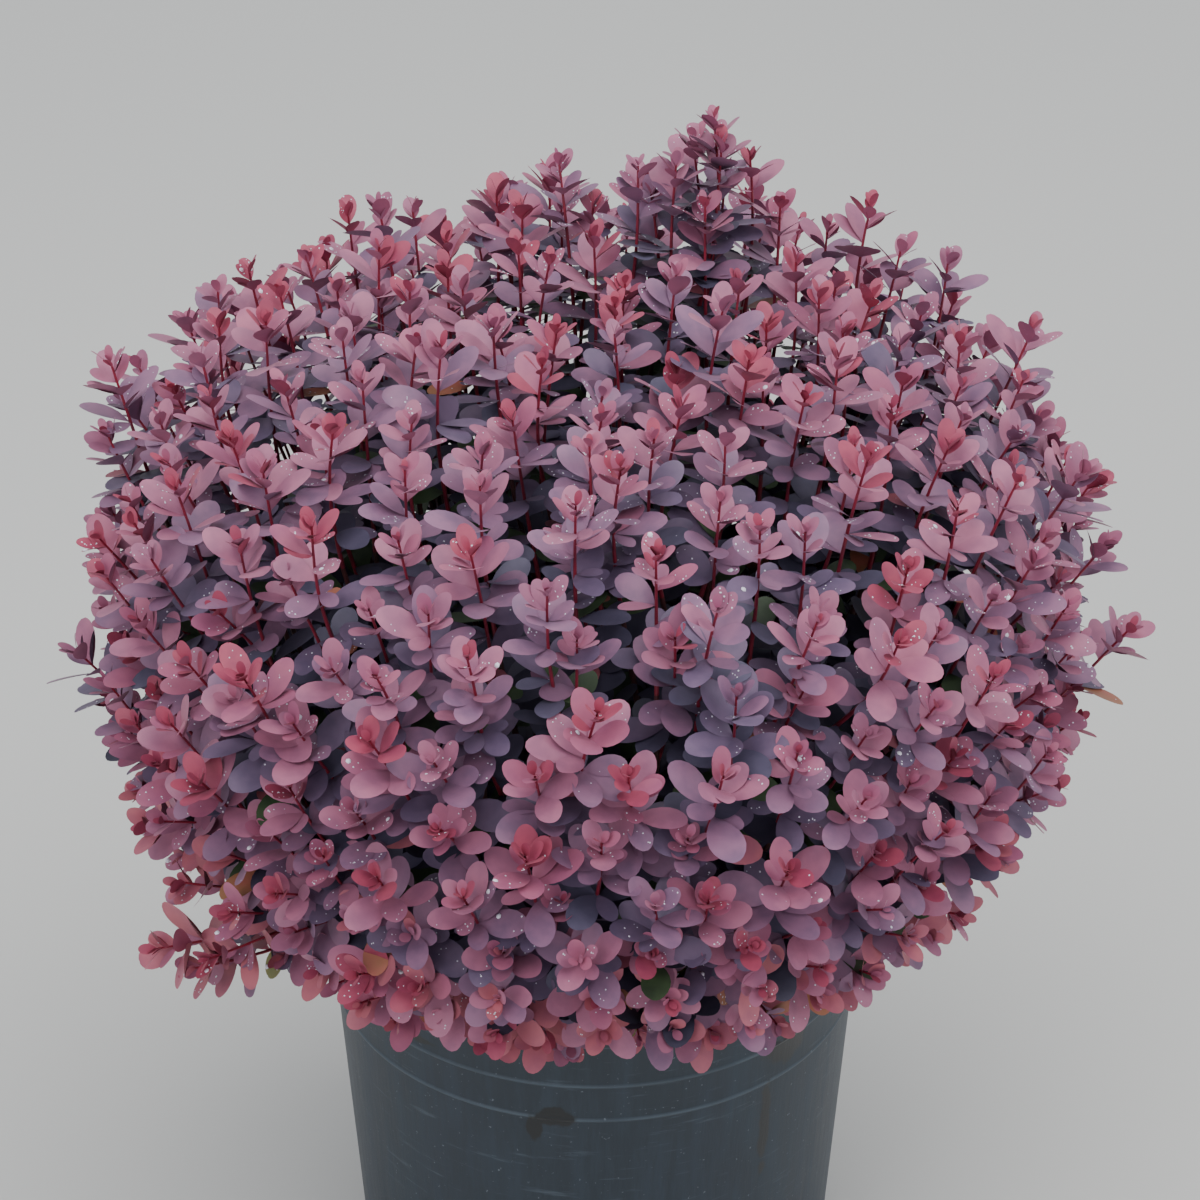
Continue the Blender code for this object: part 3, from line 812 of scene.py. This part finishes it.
# Points and quads of many tubes, round paths of one array
def tubes(paths, radii, sides, relief=0.0):
    paths = np.asarray(paths)
    ways = unit(np.gradient(paths, axis=1))
    side = unit(np.cross(ways, np.array([0.31, 0.17, 0.93])))  # a direction that no stem runs along
    other = np.cross(ways, side)
    turns = np.arange(sides) * 2 * math.pi / sides
    ring = side[:, :, None, :] * np.cos(turns)[:, None] + other[:, :, None, :] * np.sin(turns)[:, None]
    radii = np.broadcast_to(np.asarray(radii)[None, :, None, None], ring.shape[:3] + (1,)).copy()
    if relief:
        rough = np.random.default_rng(4).normal(0, relief, radii.shape)
        radii = radii * (1 + np.clip(rough, -2 * relief, 2 * relief))
    points = paths[:, :, None, :] + ring * radii
    count, length = paths.shape[:2]
    n, r, c = np.meshgrid(np.arange(count), np.arange(length - 1), np.arange(sides), indexing="ij")
    base = (n * length + r) * sides
    after = (c + 1) % sides
    faces = np.stack([base + c, base + after, base + sides + after, base + sides + c], axis=-1)
    return points.reshape(-1, 3), faces.reshape(-1, 4)


# Curves from each start past a middle point to each end
def bent(start, middle, end, count):
    steps = np.linspace(0, 1, count)[None, :, None]
    return start * (1 - steps) ** 2 + middle * 2 * steps * (1 - steps) + end * steps**2


def boughWays():
    ways = []
    for count, rise, first in wood["masses"]:
        for i in range(count):
            turn = math.radians(first + 360 * i / count)
            ways.append(polar(turn, math.cos(math.radians(rise)), math.sin(math.radians(rise))))
    return np.array(ways)


def barkMaterial():
    # Old barberry bark: thin, grey-brown, cracked along the stem
    material, tree, shader = newMaterial("barberryBark", wood["barkColour"], 0.85)
    place = addNode(tree, "ShaderNodeTexCoord")
    cracks = addNode(tree, "ShaderNodeTexNoise",
                     inputs={"Scale": perMetre(3), "Detail": 6, "Roughness": 0.7},
                     links={"Vector": (place, "Object")})
    tones = addNode(tree, "ShaderNodeValToRGB", links={"Fac": (cracks, "Fac")},
                    stops=((0.35, wood["barkColour"]), (0.68, wood["barkLight"])))
    tree.links.new(tones.outputs["Color"], shader.inputs["Base Color"])
    bump = addNode(tree, "ShaderNodeBump", inputs={"Strength": 0.7, "Distance": 0.0008},
                   links={"Height": (cracks, "Fac")})
    tree.links.new(bump.outputs["Normal"], shader.inputs["Normal"])
    return material


def stemMaterial(name, hexColour, darkHex):
    # New barberry wood: smooth, dark red, with a slight shine
    material, tree, shader = newMaterial(name, hexColour, 0.4)
    place = addNode(tree, "ShaderNodeTexCoord")
    tint = addNode(tree, "ShaderNodeTexNoise", inputs={"Scale": perMetre(9), "Detail": 3},
                   links={"Vector": (place, "Object")})
    tones = addNode(tree, "ShaderNodeValToRGB", links={"Fac": (tint, "Fac")},
                    stops=((0.35, hexColour), (0.70, darkHex)))
    tree.links.new(tones.outputs["Color"], shader.inputs["Base Color"])
    return material


def makeStems(stems):
    radii = np.linspace(shoot["stemTip"], shoot["stemFoot"], stems.shape[1])
    points, faces = tubes(stems, radii, 5)
    material = stemMaterial("redBarberryStem", wood["youngColour"], wood["youngDark"])
    young = newPiece("youngStems", points, faces, material)
    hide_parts(*foliageNodes)
    print("stems", len(stems), "shoots")


# From the end of the nearest bough, bending out into each shoot
def makeBranches(stems, ways):
    fork = crown["fork"]
    feet = stems[:, -1]
    lean = unit(stems[:, -2] - stems[:, -1])
    nearest = np.argmax(unit(feet - fork) @ ways.T, axis=1)
    starts = fork + ways[nearest] * wood["boughEnd"]
    middle = feet - lean * np.linalg.norm(feet - starts, axis=1, keepdims=True) * 0.45
    branches = bent(starts[:, None], middle[:, None], feet[:, None], 7)
    points, faces = tubes(branches, np.linspace(wood["branchFoot"], shoot["stemFoot"], 7), 5)
    material = stemMaterial("brownBarberryStem", wood["oldColour"], wood["oldDark"])
    old = newPiece("branches", points, faces, material)
    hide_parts(*foliageNodes)
    print("branches done")
    return branches


# From the burl to where the branches part
def makeBoughs(ways, bark):
    fork = crown["fork"]
    start = (fork + ways * (wood["burl"] * 0.8))[:, None]
    end = (fork + ways * (wood["boughEnd"] + 0.004))[:, None]
    lift = np.array([0, 0, wood["boughArch"]]) * np.hypot(ways[:, 0], ways[:, 1])[:, None, None]
    paths = bent(start, (start + end) / 2 + lift, end, 16)
    radii = np.linspace(wood["boughBase"], wood["boughTip"], 16)
    points, faces = tubes(paths, radii, 12, relief=wood["boughRelief"])
    boughs = newPiece("boughs", points, faces, bark)
    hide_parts(*boughNodes)


# Root flare, waist and burl, with the bark's relief
def makeFoot(bark):
    ground, burl, fork = wood["ground"], wood["burl"], crown["fork"]
    outline = [(burl * math.sin(math.radians(angle)), fork[2] + burl * math.cos(math.radians(angle)))
               for angle in (0.01, 12, 25, 37, 48, 60, 72, 84, 96, 108)]
    outline += [(0.0165, ground + 0.0105), (0.0172, ground + 0.007), (0.0190, ground + 0.004)]
    outline += [(0.022, ground + 0.0018), (0.027, ground), (0.0001, ground)]
    points, faces = lathe(outline, 48)
    rough = np.random.default_rng(8).normal(0, wood["footRelief"], len(points))
    barked = (np.hypot(points[:, 0], points[:, 1]) > 0.004) & (points[:, 2] > ground + 0.0005)
    points[:, :2] *= 1 + (rough * barked / 0.02)[:, None]
    foot = newPiece("rootFlare", points, faces[:, ::-1], bark)
    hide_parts("stem_foot")
    print("boughs and foot done")


# Potting mix: bark crumbs in a dark damp soil

soil = {
    "top": 0.219,
    "sink": 0.005,  # how much lower it lies at the wall
    "level": 0.05,  # radius of the level middle
    "slope": 0.085,
    "crumbs": 900,
    "crumbRing": (0.028, 0.128),
    "crumbSizes": ((0.001, 0.004), (0.0008, 0.0025), (0.0005, 0.0014)),
    "colour": "#2b211b",
    "crumbColour": "#4c3a2c",
    "crumbDark": "#34271e",
    "crumbLight": "#6a5340",
}


def soilMaterial():
    # Composted bark: dark, damp and matt, with coarse crumbs
    material, tree, shader = newMaterial("compostedBark", soil["colour"], 0.92)
    place = addNode(tree, "ShaderNodeTexCoord")
    grains = addNode(tree, "ShaderNodeTexVoronoi", inputs={"Scale": perMetre(4)},
                     links={"Vector": (place, "Object")})
    tones = addNode(tree, "ShaderNodeValToRGB", links={"Fac": (grains, "Color")},
                    stops=((0.2, soil["colour"]), (0.9, soil["crumbColour"])))
    tree.links.new(tones.outputs["Color"], shader.inputs["Base Color"])
    bump = addNode(tree, "ShaderNodeBump", inputs={"Strength": 0.8, "Distance": 0.002},
                   links={"Height": (grains, "Distance")})
    tree.links.new(bump.outputs["Normal"], shader.inputs["Normal"])
    return material


def crumbMaterial():
    # Chips of pine bark: matt, from dark to tan
    material, tree, shader = newMaterial("barkCrumbs", soil["crumbColour"], 0.9)
    place = addNode(tree, "ShaderNodeTexCoord")
    tint = addNode(tree, "ShaderNodeTexNoise", inputs={"Scale": perMetre(6)},
                   links={"Vector": (place, "Object")})
    tones = addNode(tree, "ShaderNodeValToRGB", links={"Fac": (tint, "Fac")},
                    stops=((0.3, soil["crumbDark"]), (0.7, soil["crumbLight"])))
    tree.links.new(tones.outputs["Color"], shader.inputs["Base Color"])
    return material


def makeSoil(dice):
    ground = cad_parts["soil"]
    ground.data.materials.clear()
    ground.data.materials.append(soilMaterial())
    cube = np.array([(x, y, z) for x in (-1, 1) for y in (-1, 1) for z in (-1, 1)], dtype=float)
    sides = np.array([(0, 1, 3, 2), (4, 6, 7, 5), (0, 4, 5, 1), (2, 3, 7, 6), (0, 2, 6, 4), (1, 5, 7, 3)])
    nearest, furthest = soil["crumbRing"]
    points = []
    for _ in range(soil["crumbs"]):
        distance = math.sqrt(dice.uniform(nearest**2, furthest**2))
        fall = soil["sink"] * max(0.0, distance - soil["level"]) / soil["slope"]
        centre = polar(dice.uniform(0, 2 * math.pi), distance, soil["top"] - fall + 0.0006)
        size = np.array([dice.uniform(*sizes) for sizes in soil["crumbSizes"]])
        turn = dice.uniform(0, math.pi)
        across, along = math.cos(turn), math.sin(turn)
        spin = np.array([[across, -along, 0], [along, across, 0], [0, 0, 1]])
        rough = np.array([[dice.uniform(0.7, 1.1) for _ in range(3)] for _ in range(8)])
        points.append((cube * size * rough) @ spin.T + centre)
    faces = manyOf(sides, len(points), len(cube))
    crumbs = newPiece("barkCrumbPieces", np.concatenate(points), faces, crumbMaterial(), smooth=False)


# Studio: a pale floor, and soft light like an overcast sky

studio = {
    "floorColour": "#c9c8c4",
    "floorSize": 30.0,
    "skyColour": "#e8edf4",
    "skyStrength": 0.95,
    "lampAim": (0, 0, 0.35),
    "lamps": (  # name, place, size, power in watts
        ("overhead", (0.2, -0.4, 2.6), 2.6, 56),
        ("front", (-1.6, -2.2, 1.9), 1.8, 22),
        ("side", (2.2, -0.6, 1.4), 1.6, 12),
    ),
}


def makeStudio():
    bpy.ops.mesh.primitive_plane_add(size=studio["floorSize"])
    floor = bpy.context.object
    floor.name = "floor"
    # Matt paint: plain, so that only the plant's shadow shows on it
    material, _, _ = newMaterial("paleFloor", studio["floorColour"], 0.9)
    floor.data.materials.append(material)
    world = bpy.context.scene.world or bpy.data.worlds.new("sky")
    bpy.context.scene.world = world
    world.use_nodes = True
    background = world.node_tree.nodes["Background"]
    background.inputs["Color"].default_value = linear(studio["skyColour"])
    background.inputs["Strength"].default_value = studio["skyStrength"]
    for name, place, size, power in studio["lamps"]:
        light = bpy.data.lights.new(name, "AREA")
        light.size = size
        light.energy = power
        lamp = bpy.data.objects.new(name, light)
        lamp.location = place
        aim = Vector(studio["lampAim"]) - Vector(place)
        lamp.rotation_euler = aim.to_track_quat("-Z", "Y").to_euler()
        bpy.context.scene.collection.objects.link(lamp)


placeCamera()
makeStudio()
print("studio done")
makePot()
print("pot done")
makeSoil(random.Random(3))
print("soil done")
plantDice = random.Random(crown["seed"])
allStems, allLeaves = growShoots(plantDice)
allStems = np.array(allStems)
makeStems(allStems)
allBranches = makeBranches(allStems, boughWays())
bark = barkMaterial()
makeBoughs(boughWays(), bark)
makeFoot(bark)
allLeaves += innerLeaves(allBranches, plantDice)
wetLeaves = makeLeaves(allLeaves, plantDice)
makeRain(wetLeaves, random.Random(7))
